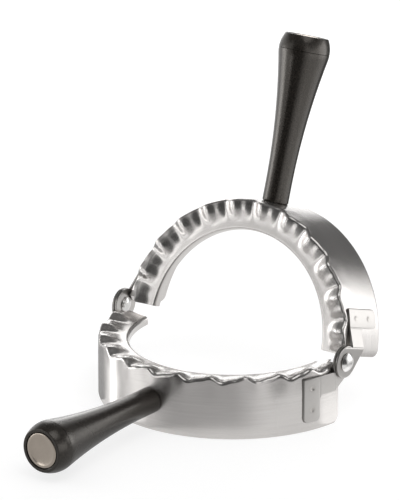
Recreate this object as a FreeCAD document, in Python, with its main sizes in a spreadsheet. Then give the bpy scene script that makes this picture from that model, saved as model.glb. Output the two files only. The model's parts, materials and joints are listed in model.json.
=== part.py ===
"""Ravioli press, in millimetres.

Two half-ring cutters of stainless sheet fold together on two rivets. Each has a waved crimping rim and a
moulded grip. The front half stands on the table and the rear half is part open.

Frame: +Z up, +X to the right, -Y towards the front grip. The origin is on the table, in the middle of the
base that the front half stands on.

Every piece is drawn in the frame of its half, whose origin is the middle of the hinge axis and whose grip
points to -Y, and is then stood in its place. The rear half is the front half's layout turned half round.
"""
import FreeCAD, Part
import math
import os
import Sketcher
from FreeCAD import Vector

SIZES = {
    # the two half rings
    "outer_radius": 62.5,
    "gauge": 0.8,
    "hinge_height": 29.0,
    "rim_drop": 0.4,
    "rim_width": 14.5,
    "rim_dip": 2.0,
    "rim_bend": 0.8,
    "lip_bend": 0.8,
    "lip_depth": 4.0,
    "wave_depth": 2.0,
    "wave_skew": 0.35,
    "wave_count": 12,
    "end_gap": 2.2,
    "end_corner": 4.0,
    # the hinge plates
    "open_angle": 72,
    "plate": 1.1,
    "strap_near": 15.3,
    "strap_width": 8.5,
    "strap_bottom": 4.5,
    "strap_corner": 2.0,
    "arm_drop": 12.5,
    "plate_drop": 3.2,
    "ear_bend": 6.7,
    "ear_radius": 7.5,
    "ear_stand": 0.3,
    "weld_ball": 3.0,
    "weld_depth": 0.25,
    "weld_rise": 5.9,
    "weld_drop": 5.0,
    # the rivets and the washers between the ears
    "rivet_shank": 2.5,
    "rivet_head": 4.45,
    "rivet_dome": 2.4,
    "rivet_edge": 0.5,
    "rivet_tail": 3.6,
    "tail_height": 1.6,
    "tail_room": 1.0,
    "washer_radius": 6.5,
    "washer_gauge": 0.4,
    "running_gap": 0.05,
    # the grips
    "grip_height": 14.5,
    "grip_length": 79.0,
    "neck_radius": 6.15,
    "neck_length": 8.0,
    "belly_radius": 12.0,
    "end_ring_length": 7.2,
    "end_round": 15.0,
    "end_edge": 0.5,
    "end_land": 1.5,
    "disc_groove": 0.4,
    "spigot_step": 1.25,
    "disc_seat": 1.6,
    "disc_edge": 1.5,
    "disc_rim": 1.2,
    "disc_dish": 0.6,
    "disc_round": 0.35,
    "stem_radius": 2.5,
    "stem_length": 6.0,
    # the fixings of the grips
    "screw_radius": 2.5,
    "tip_stand": 0.5,
    "screw_point": 0.6,
    "head_radius": 4.6,
    "head_flat": 3.2,
    "head_height": 2.6,
    "head_edge": 0.8,
    "socket_flats": 3.0,
    "socket_depth": 1.8,
    "hole_room": 0.25,
    "tip_room": 2.0,
    "saddle_radius": 6.0,
    "saddle_gauge": 1.2,
    "insert_radius": 3.6,
    "insert_length": 20.0,
    "insert_inset": 1.5,
    "insert_groove": 0.5,
    "groove_length": 6.0,
}
SECTIONS_PER_WAVE = 8
OVERRUN = 1.0

doc = FreeCAD.newDocument("ravioli_press")


class Size:
    """A number and the sheet formula that it comes from, kept together through sums and products."""

    def __init__(self, number, text):
        self.number = number
        self.text = text

    def __add__(self, other):
        return joined(self, "+", other)

    def __radd__(self, other):
        return joined(other, "+", self)

    def __sub__(self, other):
        return joined(self, "-", other)

    def __rsub__(self, other):
        return joined(other, "-", self)

    def __mul__(self, other):
        return joined(self, "*", other)

    def __rmul__(self, other):
        return joined(other, "*", self)

    def __truediv__(self, other):
        return joined(self, "/", other)

    def __neg__(self):
        return Size(-self.number, f"(0 - {self.text})")


def sized(item):
    return item if isinstance(item, Size) else Size(float(item), repr(float(item)))


def joined(left, sign, right):
    left = sized(left)
    right = sized(right)
    numbers = {
        "+": left.number + right.number,
        "-": left.number - right.number,
        "*": left.number * right.number,
    }
    number = left.number / right.number if sign == "/" else numbers[sign]
    return Size(number, f"({left.text} {sign} {right.text})")


def root(item):
    return Size(math.sqrt(item.number), f"sqrt({item.text})")


def sine(item):
    return Size(math.sin(math.radians(item.number)), f"sin({item.text})")


def cosine(item):
    return Size(math.cos(math.radians(item.number)), f"cos({item.text})")


def fill_sheet():
    """Write the driving sizes into the sheet and hand them back by name."""
    sheet = doc.addObject("Spreadsheet::Sheet", "sizes")
    for row, (name, number) in enumerate(SIZES.items(), start=1):
        sheet.set(f"A{row}", name)
        sheet.set(f"B{row}", str(number))
        sheet.setAlias(f"B{row}", name)
    doc.recompute()
    return {name: Size(float(getattr(sheet, name)), f"sizes.{name}") for name in SIZES}


size = fill_sheet()

# Levels that several pieces share, from the hinge axis.
base_level = -size["hinge_height"]
rim_foot = -(size["rim_drop"] + size["wave_depth"] / 2 + size["rim_bend"] + size["gauge"] + OVERRUN)
grip_level = size["grip_height"] - size["hinge_height"]
hinge_back = (size["outer_radius"] + size["end_gap"] + size["end_corner"]) / 2
front_ear = size["outer_radius"] + size["ear_stand"]
rear_ear = front_ear + size["plate"] + size["washer_gauge"] + size["running_gap"]
rivet_seat = rear_ear + size["plate"] + size["running_gap"]

# Levels along a grip, from the outside of the wall.
seam = size["grip_length"] - size["end_ring_length"]
end_arc = root(size["end_round"] * size["end_round"] - size["end_ring_length"] * size["end_ring_length"])
end_face = size["belly_radius"] - size["end_round"] + end_arc
end_recess = end_face - size["end_land"]
disc_radius = end_recess - size["disc_groove"]
spigot = end_recess - size["spigot_step"]
disc_floor = size["grip_length"] - size["disc_seat"]
head_seat = -size["gauge"] - size["saddle_gauge"]
insert_end = size["insert_inset"] + size["insert_length"]
screw_tip = insert_end + size["tip_stand"]


def bind(thing, **sizes):
    for name, item in sizes.items():
        thing.setExpression(name, sized(item).text)


def place(thing, x=0, y=0, z=0, yaw=0, pitch=0, roll=0):
    """Bind a piece's place, and its turns about X, then Y, then Z."""
    spot = "; ".join(sized(item).text for item in (x, y, z))
    turn = "; ".join(sized(item).text for item in (yaw, pitch, roll))
    where = f"create(<<vector>>; {spot}); create(<<rotation>>; {turn})"
    thing.setExpression("Placement", f"create(<<placement>>; {where})")


def stand(thing, half, out=0, level=0, roll=0):
    """Stand a piece of a half at a distance out from the hinge axis and a level above it."""
    out = sized(out)
    level = sized(level)
    if half == "front":
        place(thing, y=hinge_back - out, z=size["hinge_height"] + level, roll=roll)
        return
    turn = size["open_angle"]
    y = hinge_back + out * cosine(turn) - level * sine(turn)
    z = size["hinge_height"] + out * sine(turn) + level * cosine(turn)
    place(thing, y=y, z=z, yaw=180, roll=roll - turn)


def new_body(label):
    body = doc.addObject("PartDesign::Body", label)
    body.Label = label
    return body


def sketch_on(body, name, role):
    plane = next(item for item in body.Origin.OriginFeatures if item.Role == role)
    sketch = body.newObject("Sketcher::SketchObject", name)
    sketch.AttachmentSupport = [(plane, "")]
    sketch.MapMode = "FlatFace"
    return sketch


def hold(sketch, kind, places, item):
    """Add a dimension to a sketch and bind it to its formula."""
    index = sketch.addConstraint(Sketcher.Constraint(kind, *places, item.number))
    sketch.setExpression(f"Constraints[{index}]", item.text)


def hold_point(sketch, curve, end, x, y):
    """Hold a point of a sketch at x and y from the sketch's origin."""
    for kind, axis, item in (("DistanceX", -2, x), ("DistanceY", -1, y)):
        if isinstance(item, Size):
            hold(sketch, kind, (-1, 1, curve, end), item)
        else:
            sketch.addConstraint(Sketcher.Constraint("PointOnObject", curve, end, axis))


def short_arc(start, end, radius):
    """The lesser arc between two points: to the left for a positive radius, right for a negative one."""
    chord = end - start
    left = Vector(-chord.y, chord.x, 0).normalize()
    rise = math.sqrt(max(radius * radius - chord.Length * chord.Length / 4, 0))
    centre = (start + end) * 0.5 + left * math.copysign(rise, radius)
    first, last = (start, end) if radius > 0 else (end, start)
    circle = Part.Circle(centre, Vector(0, 0, 1), abs(radius))
    return Part.ArcOfCircle(circle, circle.parameter(first), circle.parameter(last))


def draw_outline(sketch, corners):
    """Draw a closed outline. A corner is x, y and, where an arc leads on from it, the arc's radius."""
    spots = [Vector(sized(corner[0]).number, sized(corner[1]).number, 0) for corner in corners]
    runs = []
    for corner, start, end in zip(corners, spots, spots[1:] + spots[:1]):
        if len(corner) == 2:
            runs.append((sketch.addGeometry(Part.LineSegment(start, end)), 1, 2))
            continue
        radius = corner[2].number
        curve = sketch.addGeometry(short_arc(start, end, radius))
        runs.append((curve, 1, 2) if radius > 0 else (curve, 2, 1))
    for (curve, _, last), (after, first, _) in zip(runs, runs[1:] + runs[:1]):
        sketch.addConstraint(Sketcher.Constraint("Coincident", curve, last, after, first))
    for corner, (curve, first, _) in zip(corners, runs):
        hold_point(sketch, curve, first, corner[0], corner[1])
        if len(corner) == 3:
            radius = corner[2]
            hold(sketch, "Radius", (curve,), radius if radius.number > 0 else -radius)


def draw_circle(sketch, x, y, radius):
    centre = Vector(sized(x).number, sized(y).number, 0)
    curve = sketch.addGeometry(Part.Circle(centre, Vector(0, 0, 1), radius.number))
    hold_point(sketch, curve, 3, x, y)
    hold(sketch, "Radius", (curve,), radius)


def pad(body, sketch, length):
    feature = body.newObject("PartDesign::Pad", f"{body.Label}_pad")
    feature.Profile = sketch
    bind(feature, Length=length)
    return feature


def turned(label, corners):
    """A turned piece: an outline of radius and height, spun about Z."""
    body = new_body(label)
    sketch = sketch_on(body, f"{label}_profile", "XZ_Plane")
    draw_outline(sketch, corners)
    spin = body.newObject("PartDesign::Revolution", f"{label}_spin")
    spin.Profile = sketch
    spin.ReferenceAxis = (sketch, ["V_Axis"])
    spin.Angle = 360
    doc.recompute()
    return body


def cut_away(body, sketch, **setting):
    """Pocket a sketch right through, and make sure that it took something away."""
    before = body.Shape.Volume
    pocket = body.newObject("PartDesign::Pocket", f"{sketch.Name}_cut")
    pocket.Profile = sketch
    pocket.Type = "ThroughAll"
    for name, choice in setting.items():
        setattr(pocket, name, choice)
    doc.recompute()
    if not body.Shape.Volume < before:
        raise RuntimeError(f"{sketch.Name} cut nothing")
    return pocket


def round_edge(body, radius_at, height, amount):
    """Round the circular edge of a turned piece that has this radius and height."""
    base = body.Tip
    names = []
    for index, edge in enumerate(base.Shape.Edges, start=1):
        if edge.Degenerated or not isinstance(edge.Curve, Part.Circle):
            continue
        curve = edge.Curve
        same_radius = abs(curve.Radius - radius_at.number) < 1e-4
        if same_radius and abs(curve.Center.z - height.number) < 1e-4:
            names.append(f"Edge{index}")
    fillet = body.newObject("PartDesign::Fillet", f"{body.Label}_round")
    fillet.Base = (base, names)
    bind(fillet, Radius=amount)
    doc.recompute()


def crown(radius, rise):
    """The radius of a dome that rises so far over a circle."""
    return (radius * radius + rise * rise) / (2 * rise)


# The half rings: a wall, a waved rim that dips inwards, and a turned-down inner lip.
def rim_section(angle):
    """The rim's closed outline on the radial plane at an angle round from +X, from its foot on the wall."""
    outer = size["outer_radius"].number
    gauge = size["gauge"].number
    bend = size["rim_bend"].number + gauge
    turn_in = size["lip_bend"].number + gauge
    inner = outer - size["rim_width"].number
    phase = 2 * round(size["wave_count"].number) * (angle - math.pi / 2)
    skewed = math.sin(phase) + size["wave_skew"].number * math.sin(2 * phase)
    wave = size["wave_depth"].number / 2 * skewed
    top = wave - size["rim_drop"].number
    dip = -size["rim_drop"].number - size["rim_dip"].number
    lip_end = dip - size["lip_depth"].number
    foot = rim_foot.number

    def at(radius, height):
        return Vector(radius * math.cos(angle), -radius * math.sin(angle), height)

    def line(start, end):
        return Part.LineSegment(at(*start), at(*end)).toShape()

    def bow(centre, radius, first, last):
        spots = []
        for degrees in (first, (first + last) / 2, last):
            turn = math.radians(degrees)
            spots.append(at(centre[0] + radius * math.cos(turn), centre[1] + radius * math.sin(turn)))
        return Part.Arc(*spots).toShape()

    def sway(start, end):
        reach = (end[0] - start[0]) / 2
        curve = Part.BezierCurve()
        curve.setPoles([at(*start), at(start[0] + reach, start[1]), at(end[0] - reach, end[1]), at(*end)])
        return curve.toShape()

    bend_centre = (outer - bend, top - bend)
    lip_centre = (inner + turn_in, dip - turn_in)
    edges = [
        line((outer, foot), (outer, top - bend)),
        bow(bend_centre, bend, 0, 90),
        sway((outer - bend, top), (inner + turn_in, dip)),
        bow(lip_centre, turn_in, 90, 180),
        line((inner, dip - turn_in), (inner, lip_end)),
        line((inner, lip_end), (inner + gauge, lip_end)),
        line((inner + gauge, lip_end), (inner + gauge, dip - turn_in)),
        bow(lip_centre, turn_in - gauge, 180, 90),
        sway((inner + turn_in, dip - gauge), (outer - bend, top - gauge)),
        bow(bend_centre, bend - gauge, 90, 0),
        line((outer - gauge, top - bend), (outer - gauge, foot)),
        line((outer - gauge, foot), (outer, foot)),
    ]
    return Part.Wire(edges)


def waved_rim(name):
    """The rim, one wave after another round the half circle.

    The wave is odd about the grip, so two equal rims fold together crest into trough.
    """
    waves = round(size["wave_count"].number)
    turn = math.pi / waves
    angles = [turn * step / SECTIONS_PER_WAVE for step in range(SECTIONS_PER_WAVE + 1)]
    wave = Part.makeLoft([rim_section(angle) for angle in angles], True, False)
    copies = []
    for index in range(waves):
        copy = wave.copy()
        copy.rotate(Vector(0, 0, 0), Vector(0, 0, 1), -math.degrees(turn * index))
        copies.append(copy)
    rim = doc.addObject("Part::Feature", name)
    rim.Shape = copies[0].multiFuse(copies[1:])
    return rim


def half_round(name, radius, height, level):
    """Half a cylinder on the grip's side of the hinge axis, standing on a level."""
    cylinder = doc.addObject("Part::Cylinder", name)
    bind(cylinder, Radius=radius, Height=height)
    cylinder.Angle = 180
    place(cylinder, z=level, yaw=180)
    return cylinder


def lying_cylinder(name, radius, length, start, y, z):
    """A cylinder along X from a start."""
    cylinder = doc.addObject("Part::Cylinder", name)
    bind(cylinder, Radius=radius, Height=length)
    place(cylinder, x=start, y=y, z=z, pitch=90)
    return cylinder


def block(name, width, depth, height, y, z):
    """A box, centred across X, whose front lower edge is at y and z."""
    box = doc.addObject("Part::Box", name)
    bind(box, Length=width, Width=depth, Height=height)
    place(box, x=-width / 2, y=y, z=z)
    return box


def cut(name, base, tool):
    result = doc.addObject("Part::Cut", name)
    result.Base = base
    result.Tool = tool
    return result


def shell(half):
    label = f"{half}_shell"
    outer = size["outer_radius"]
    wall_height = rim_foot - base_level
    outside = half_round(f"{label}_outside", outer, wall_height, base_level)
    inside = half_round(f"{label}_inside", outer - size["gauge"], wall_height, base_level)
    blank = doc.addObject("Part::MultiFuse", f"{label}_blank")
    blank.Shapes = [cut(f"{label}_wall", outside, inside), waved_rim(f"{label}_rim")]

    across = 2 * outer + 2 * OVERRUN
    corner = size["end_corner"]
    ends = -size["end_gap"]
    turn = ends - corner
    tall = size["hinge_height"] + size["wave_depth"]
    back = block(f"{label}_back", across, size["end_gap"] + OVERRUN, tall, ends, base_level)
    foot = block(f"{label}_foot", across, corner + OVERRUN, corner, turn, base_level)
    rounding = lying_cylinder(f"{label}_foot_round", corner, across, -across / 2, turn, base_level + corner)

    relief_length = size["tail_height"] + size["gauge"] + 2 * OVERRUN
    relief = size["rivet_tail"] + size["tail_room"]
    reliefs = []
    for side, start in (("right", outer + OVERRUN - relief_length), ("left", -across / 2)):
        reliefs.append(lying_cylinder(f"{label}_{side}_relief", relief, relief_length, start, 0, 0))

    hole = doc.addObject("Part::Cylinder", f"{label}_hole")
    bind(hole, Radius=size["screw_radius"] + size["hole_room"], Height=size["gauge"] + 2 * OVERRUN)
    place(hole, y=size["gauge"] + OVERRUN - outer, z=grip_level, roll=90)

    tools = doc.addObject("Part::MultiFuse", f"{label}_tools")
    tools.Shapes = [back, cut(f"{label}_foot_cut", foot, rounding), hole] + reliefs
    ring = cut(label, blank, tools)
    ring.Label = label
    stand(ring, half)
    return ring


# The hinge plates: a strap on the wall, an arm that leaves it, and a flat ear round the hinge axis.
def hinge_plate(label, half, ear, hole):
    body = new_body(label)
    outer = size["outer_radius"]
    thick = size["plate"]
    near = -size["strap_near"]
    far = near - size["strap_width"]
    bend = -size["ear_bend"]
    eye = size["ear_radius"]
    low = size["strap_bottom"] + base_level
    arm = -size["arm_drop"]
    top = -size["plate_drop"]

    def on_wall(radius, y):
        return root(radius * radius - y * y)

    plan = sketch_on(body, f"{label}_plan", "XY_Plane")
    plan.setExpression("AttachmentOffset.Base.z", low.text)
    draw_outline(plan, [
        (on_wall(outer, far), far, outer),
        (on_wall(outer, near), near),
        (ear, bend),
        (ear, eye),
        (ear + thick, eye),
        (ear + thick, bend),
        (on_wall(outer + thick, near), near, -(outer + thick)),
        (on_wall(outer + thick, far), far),
    ])
    pad(body, plan, eye - low)
    doc.recompute()

    corner = size["strap_corner"]
    reach = bend * bend + arm * arm
    run = root(reach - eye * eye)
    touch_y = eye * (eye * bend - run * arm) / reach
    touch_z = eye * (eye * arm + run * bend) / reach
    side = sketch_on(body, f"{label}_side", "YZ_Plane")
    draw_outline(side, [
        (far - OVERRUN, low - OVERRUN),
        (eye + OVERRUN, low - OVERRUN),
        (eye + OVERRUN, eye + OVERRUN),
        (far - OVERRUN, eye + OVERRUN),
    ])
    draw_outline(side, [
        (far, top),
        (far, low + corner, corner),
        (far + corner, low),
        (near - corner, low, corner),
        (near, low + corner),
        (near, arm - corner, -corner),
        (near + corner, arm),
        (bend, arm),
        (touch_y, touch_z, eye),
        (0, eye, eye),
        (-root(eye * eye - top * top), top),
    ])
    draw_circle(side, 0, 0, hole)
    cut_away(body, side, Reversed=True)

    ball = size["weld_ball"]
    middle = near - size["strap_width"] / 2
    stand_off = (outer + thick + ball - size["weld_depth"]) / outer
    for name, height in (("low", low + size["weld_rise"]), ("high", top - size["weld_drop"])):
        dimple = body.newObject("PartDesign::SubtractiveSphere", f"{label}_{name}_weld")
        bind(dimple, Radius=ball)
        place(dimple, stand_off * on_wall(outer, middle), stand_off * middle, height)
        doc.recompute()
    stand(body, half)
    return body


def mirrored(label, source):
    """The same piece on the other side of the press."""
    twin = doc.addObject("Part::Mirroring", label)
    twin.Label = label
    twin.Source = source
    twin.Base = Vector(0, 0, 0)
    twin.Normal = Vector(1, 0, 0)
    return twin


# The rivets, dome outside and tail inside, and the washers that hold the angle by friction.
def rivet(side, sign):
    edge = size["rivet_edge"]
    shank = size["rivet_shank"]
    head = size["rivet_head"]
    tail = size["rivet_tail"]
    seat = rivet_seat - front_ear
    body = turned(f"{side}_rivet", [
        (0, -size["tail_height"], crown(tail, size["tail_height"] - edge)),
        (tail, -edge),
        (tail, 0),
        (shank, 0),
        (shank, seat),
        (head, seat),
        (head, seat + edge, crown(head, size["rivet_dome"] - edge)),
        (0, seat + size["rivet_dome"]),
    ])
    place(body, x=sign * front_ear, y=hinge_back, z=size["hinge_height"], pitch=sign * 90)
    return body


def friction_washer(side, sign):
    label = f"{side}_friction_washer"
    body = new_body(label)
    rings = sketch_on(body, f"{label}_rings", "XY_Plane")
    draw_circle(rings, 0, 0, size["washer_radius"])
    draw_circle(rings, 0, 0, size["rivet_shank"] + size["running_gap"])
    pad(body, rings, size["washer_gauge"])
    place(body, x=sign * (front_ear + size["plate"]), y=hinge_back, z=size["hinge_height"], pitch=sign * 90)
    return body


# The grips: a slim neck that flares in one long arc to a rounded end.
def stand_grip(thing, half):
    stand(thing, half, out=size["outer_radius"], level=grip_level, roll=90)
    return thing


def grip(half):
    label = f"{half}_grip"
    neck = size["neck_radius"]
    belly = size["belly_radius"]
    end_round = size["end_round"]
    length = seam - size["neck_length"]
    flare = belly - neck
    centres = (length * length + flare * flare) / (2 * flare)
    start = -neck * neck / size["outer_radius"]
    tip_bore = size["screw_radius"] + size["hole_room"]
    body = turned(label, [
        (size["insert_radius"], start),
        (neck, start),
        (neck, size["neck_length"], -(centres - end_round)),
        (belly - end_round * flare / centres, seam - end_round * length / centres, end_round),
        (belly, seam),
        (spigot, seam),
        (spigot, disc_floor),
        (size["stem_radius"], disc_floor),
        (size["stem_radius"], disc_floor - size["stem_length"]),
        (0, disc_floor - size["stem_length"]),
        (0, screw_tip + size["tip_room"]),
        (tip_bore, screw_tip + size["tip_room"]),
        (tip_bore, insert_end),
        (size["insert_radius"], insert_end),
    ])
    saddle = sketch_on(body, f"{label}_saddle", "XZ_Plane")
    draw_circle(saddle, 0, -size["outer_radius"], size["outer_radius"])
    cut_away(body, saddle, Midplane=True)
    return stand_grip(body, half)


def end_ring(half):
    length = size["grip_length"]
    body = turned(f"{half}_end_ring", [
        (spigot, seam),
        (size["belly_radius"], seam, size["end_round"]),
        (end_face, length),
        (end_recess, length),
        (end_recess, disc_floor),
        (spigot, disc_floor),
    ])
    round_edge(body, end_face, length, size["end_edge"])
    return stand_grip(body, half)


def end_disc(half):
    edge = disc_floor + size["disc_edge"]
    dish = disc_radius - size["disc_rim"]
    body = turned(f"{half}_end_disc", [
        (0, disc_floor - size["stem_length"]),
        (size["stem_radius"], disc_floor - size["stem_length"]),
        (size["stem_radius"], disc_floor),
        (disc_radius, disc_floor),
        (disc_radius, edge),
        (dish, edge, -crown(dish, size["disc_dish"])),
        (0, edge - size["disc_dish"]),
    ])
    round_edge(body, disc_radius, edge, size["disc_round"])
    return stand_grip(body, half)


# The fixings: a screw from inside the wall, its saddle washer, and the insert that it holds.
def grip_insert(half):
    outer = size["insert_radius"]
    start = size["insert_inset"]
    band = (size["insert_length"] - size["groove_length"]) / 2
    groove = outer - size["insert_groove"]
    body = turned(f"{half}_grip_insert", [
        (size["screw_radius"], start),
        (outer, start),
        (outer, start + band),
        (groove, start + band),
        (groove, insert_end - band),
        (outer, insert_end - band),
        (outer, insert_end),
        (size["screw_radius"], insert_end),
    ])
    return stand_grip(body, half)


def grip_screw(half):
    label = f"{half}_grip_screw"
    shank = size["screw_radius"]
    point = size["screw_point"]
    head = size["head_radius"]
    flat = size["head_flat"]
    face = head_seat - size["head_height"]
    shoulder = head_seat - size["head_edge"]
    rise = shoulder - face
    slope = head - flat
    body = turned(label, [
        (0, face),
        (flat, face, (slope * slope + rise * rise) / (2 * slope)),
        (head, shoulder),
        (head, head_seat),
        (shank, head_seat),
        (shank, screw_tip - point),
        (shank - point, screw_tip),
        (0, screw_tip),
    ])
    to_corner = size["socket_flats"] / (2 * math.cos(math.pi / 6))
    socket = sketch_on(body, f"{label}_socket", "XY_Plane")
    socket.setExpression("AttachmentOffset.Base.z", face.text)
    turns = [math.radians(60 * step + 30) for step in range(6)]
    draw_outline(socket, [(to_corner * math.cos(turn), to_corner * math.sin(turn)) for turn in turns])
    pocket = cut_away(body, socket, Type="Length", Reversed=True)
    bind(pocket, Length=size["socket_depth"])
    return stand_grip(body, half)


def saddle_washer(half):
    label = f"{half}_saddle_washer"
    outer = size["outer_radius"]
    slug = doc.addObject("Part::Cylinder", f"{label}_slug")
    bind(slug, Radius=size["saddle_radius"], Height=size["saddle_gauge"])
    place(slug, z=head_seat)
    wall = doc.addObject("Part::Cylinder", f"{label}_wall")
    bind(wall, Radius=outer - size["gauge"], Height=2 * size["saddle_radius"] + 2 * OVERRUN)
    place(wall, y=size["saddle_radius"] + OVERRUN, z=-outer, roll=90)
    curved = doc.addObject("Part::Common", f"{label}_curved")
    curved.Base = slug
    curved.Tool = wall
    hole = doc.addObject("Part::Cylinder", f"{label}_hole")
    bind(hole, Radius=size["screw_radius"] + size["hole_room"], Height=size["saddle_gauge"] + 2 * OVERRUN)
    place(hole, z=head_seat - OVERRUN)
    washer = cut(label, curved, hole)
    washer.Label = label
    return stand_grip(washer, half)


def build():
    front_plate = hinge_plate("front_hinge_right", "front", front_ear, size["rivet_shank"])
    rear_hole = size["rivet_shank"] + size["running_gap"]
    rear_plate = hinge_plate("rear_hinge_left", "rear", rear_ear, rear_hole)
    pieces = [
        front_plate,
        rear_plate,
        mirrored("front_hinge_left", front_plate),
        mirrored("rear_hinge_right", rear_plate),
    ]
    for half in ("front", "rear"):
        for make in (shell, grip, end_ring, end_disc, grip_insert, grip_screw, saddle_washer):
            pieces.append(make(half))
    for side, sign in (("left", -1), ("right", 1)):
        pieces.append(rivet(side, sign))
        pieces.append(friction_washer(side, sign))
    doc.recompute()
    return pieces


def check(pieces):
    faults = [item.Label for item in doc.Objects if {"Invalid", "Error"} & set(item.State)]
    for piece in pieces:
        if piece.Shape.isNull() or not piece.Shape.isValid() or len(piece.Shape.Solids) != 1:
            faults.append(piece.Label)
    if faults:
        raise RuntimeError(f"not sound: {', '.join(faults)}")


pieces = build()
check(pieces)
os.makedirs("parts", exist_ok=True)
for piece in pieces:
    piece.Shape.exportStep(f"parts/{piece.Label}.step")
    print(f"{piece.Label}: {piece.Shape.Volume:.1f} mm3")
print(f"hinge axis at y {hinge_back.number:.3f}, z {size['hinge_height'].number:.3f}")
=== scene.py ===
# %% [markdown]
# A ravioli press: two half rings of pressed stainless sheet, hinged on two rivets, each with a black
# moulded grip. The construction comes in as a fixed frame, at its real size in metres, and this lesson
# dresses it. Every piece is worked out with numpy in the frame of its half and then stood in its place, so
# nothing is fitted by eye.

# %% Load the frame
import json
import math

import bmesh
import bpy
import numpy as np
from mathutils import Matrix, Vector
from mathutils.geometry import delaunay_2d_cdt


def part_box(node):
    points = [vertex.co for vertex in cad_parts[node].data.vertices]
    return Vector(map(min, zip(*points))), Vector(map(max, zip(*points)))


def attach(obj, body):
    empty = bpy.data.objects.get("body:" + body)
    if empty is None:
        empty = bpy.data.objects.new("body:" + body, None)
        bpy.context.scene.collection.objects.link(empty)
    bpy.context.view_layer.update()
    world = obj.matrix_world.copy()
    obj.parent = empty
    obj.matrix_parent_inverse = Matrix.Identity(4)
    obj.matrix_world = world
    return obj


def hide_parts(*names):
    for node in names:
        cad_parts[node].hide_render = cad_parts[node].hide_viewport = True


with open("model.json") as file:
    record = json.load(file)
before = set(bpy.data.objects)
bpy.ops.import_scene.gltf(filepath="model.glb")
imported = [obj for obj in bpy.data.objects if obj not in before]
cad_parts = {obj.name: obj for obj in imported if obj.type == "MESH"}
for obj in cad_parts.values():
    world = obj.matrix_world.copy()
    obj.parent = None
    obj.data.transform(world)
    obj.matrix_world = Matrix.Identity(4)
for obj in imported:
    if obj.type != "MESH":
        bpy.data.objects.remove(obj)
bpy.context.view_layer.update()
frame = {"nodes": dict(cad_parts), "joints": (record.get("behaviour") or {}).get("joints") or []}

# %% [markdown]
# The two halves share one layout. Its origin is the middle of the hinge axis, its grip points to -Y and its
# rim faces +Z. The front half is that layout moved to the hinge. The rear half is rolled back by the angle
# that it stands open and turned half round.

# %% The hinge and the two halves
MM = 0.001
hinge = frame["joints"][0]
AXIS = np.array(hinge["pos_m"])
OPEN = math.radians(-hinge["range_deg"][0])
OUTER = AXIS[1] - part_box("front_shell")[0].y
BASE = -AXIS[2]
HALVES = ("front", "rear")


def in_place(points, half):
    """Half-frame points in the shared frame: rolled about X by the open angle, turned half round, moved."""
    if half == "front":
        return points + AXIS
    cosine = math.cos(OPEN)
    sine = math.sin(OPEN)
    roll = np.array([[1, 0, 0], [0, cosine, sine], [0, -sine, cosine]])
    half_turn = np.diag([-1, -1, 1])
    return points @ (half_turn @ roll).T + AXIS


print(f"hinge axis at {AXIS}, open {math.degrees(OPEN):.0f} degrees, wall radius {OUTER:.4f} m")

# %% [markdown]
# Most pieces are a grid of points: rows along one parameter and columns along another. Joining neighbours
# gives quads, and a row or column that closes on itself wraps round. Each corner of a quad also keeps its
# own place in the pattern map, counted on past the wrap, so a seam never smears the pattern.

# %% Grids
def grid(rows, columns, wrap_rows=False, wrap_columns=False):
    """Quads of a grid, and the unwrapped row and column of each corner."""
    row, column = np.meshgrid(
        np.arange(rows if wrap_rows else rows - 1),
        np.arange(columns if wrap_columns else columns - 1),
        indexing="ij",
    )
    corner_rows = np.stack([row, row, row + 1, row + 1], -1).reshape(-1, 4)
    corner_columns = np.stack([column, column + 1, column + 1, column], -1).reshape(-1, 4)
    quads = corner_rows % rows * columns + corner_columns % columns
    return quads, corner_rows, corner_columns


open_quads = len(grid(3, 4)[0])
wrapped_quads = len(grid(3, 4, wrap_columns=True)[0])
print(f"a grid of 3 by 4 points has {open_quads} quads, or {wrapped_quads} with its columns wrapped round")

# %% [markdown]
# A mesh is filled from whole arrays at once, which is far quicker than adding its faces one by one. The
# sign of its volume tells which way the faces point, and all of them are turned over where they point
# inwards. Points that meet, as at a pole, are merged, and only edges steeper than an angle stay sharp.

# %% Meshes
MERGE = 0.0001 * MM


def volume_of(points, faces):
    """Signed volume: the sum over triangles of the triple product of their corners, over six."""
    fan = [faces[:, [0, step, step + 1]] for step in range(1, faces.shape[1] - 1)]
    a, b, c = (points[np.concatenate(fan)[:, corner]] for corner in range(3))
    return np.einsum("ij,ij->i", a, np.cross(b, c)).sum() / 6


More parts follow.
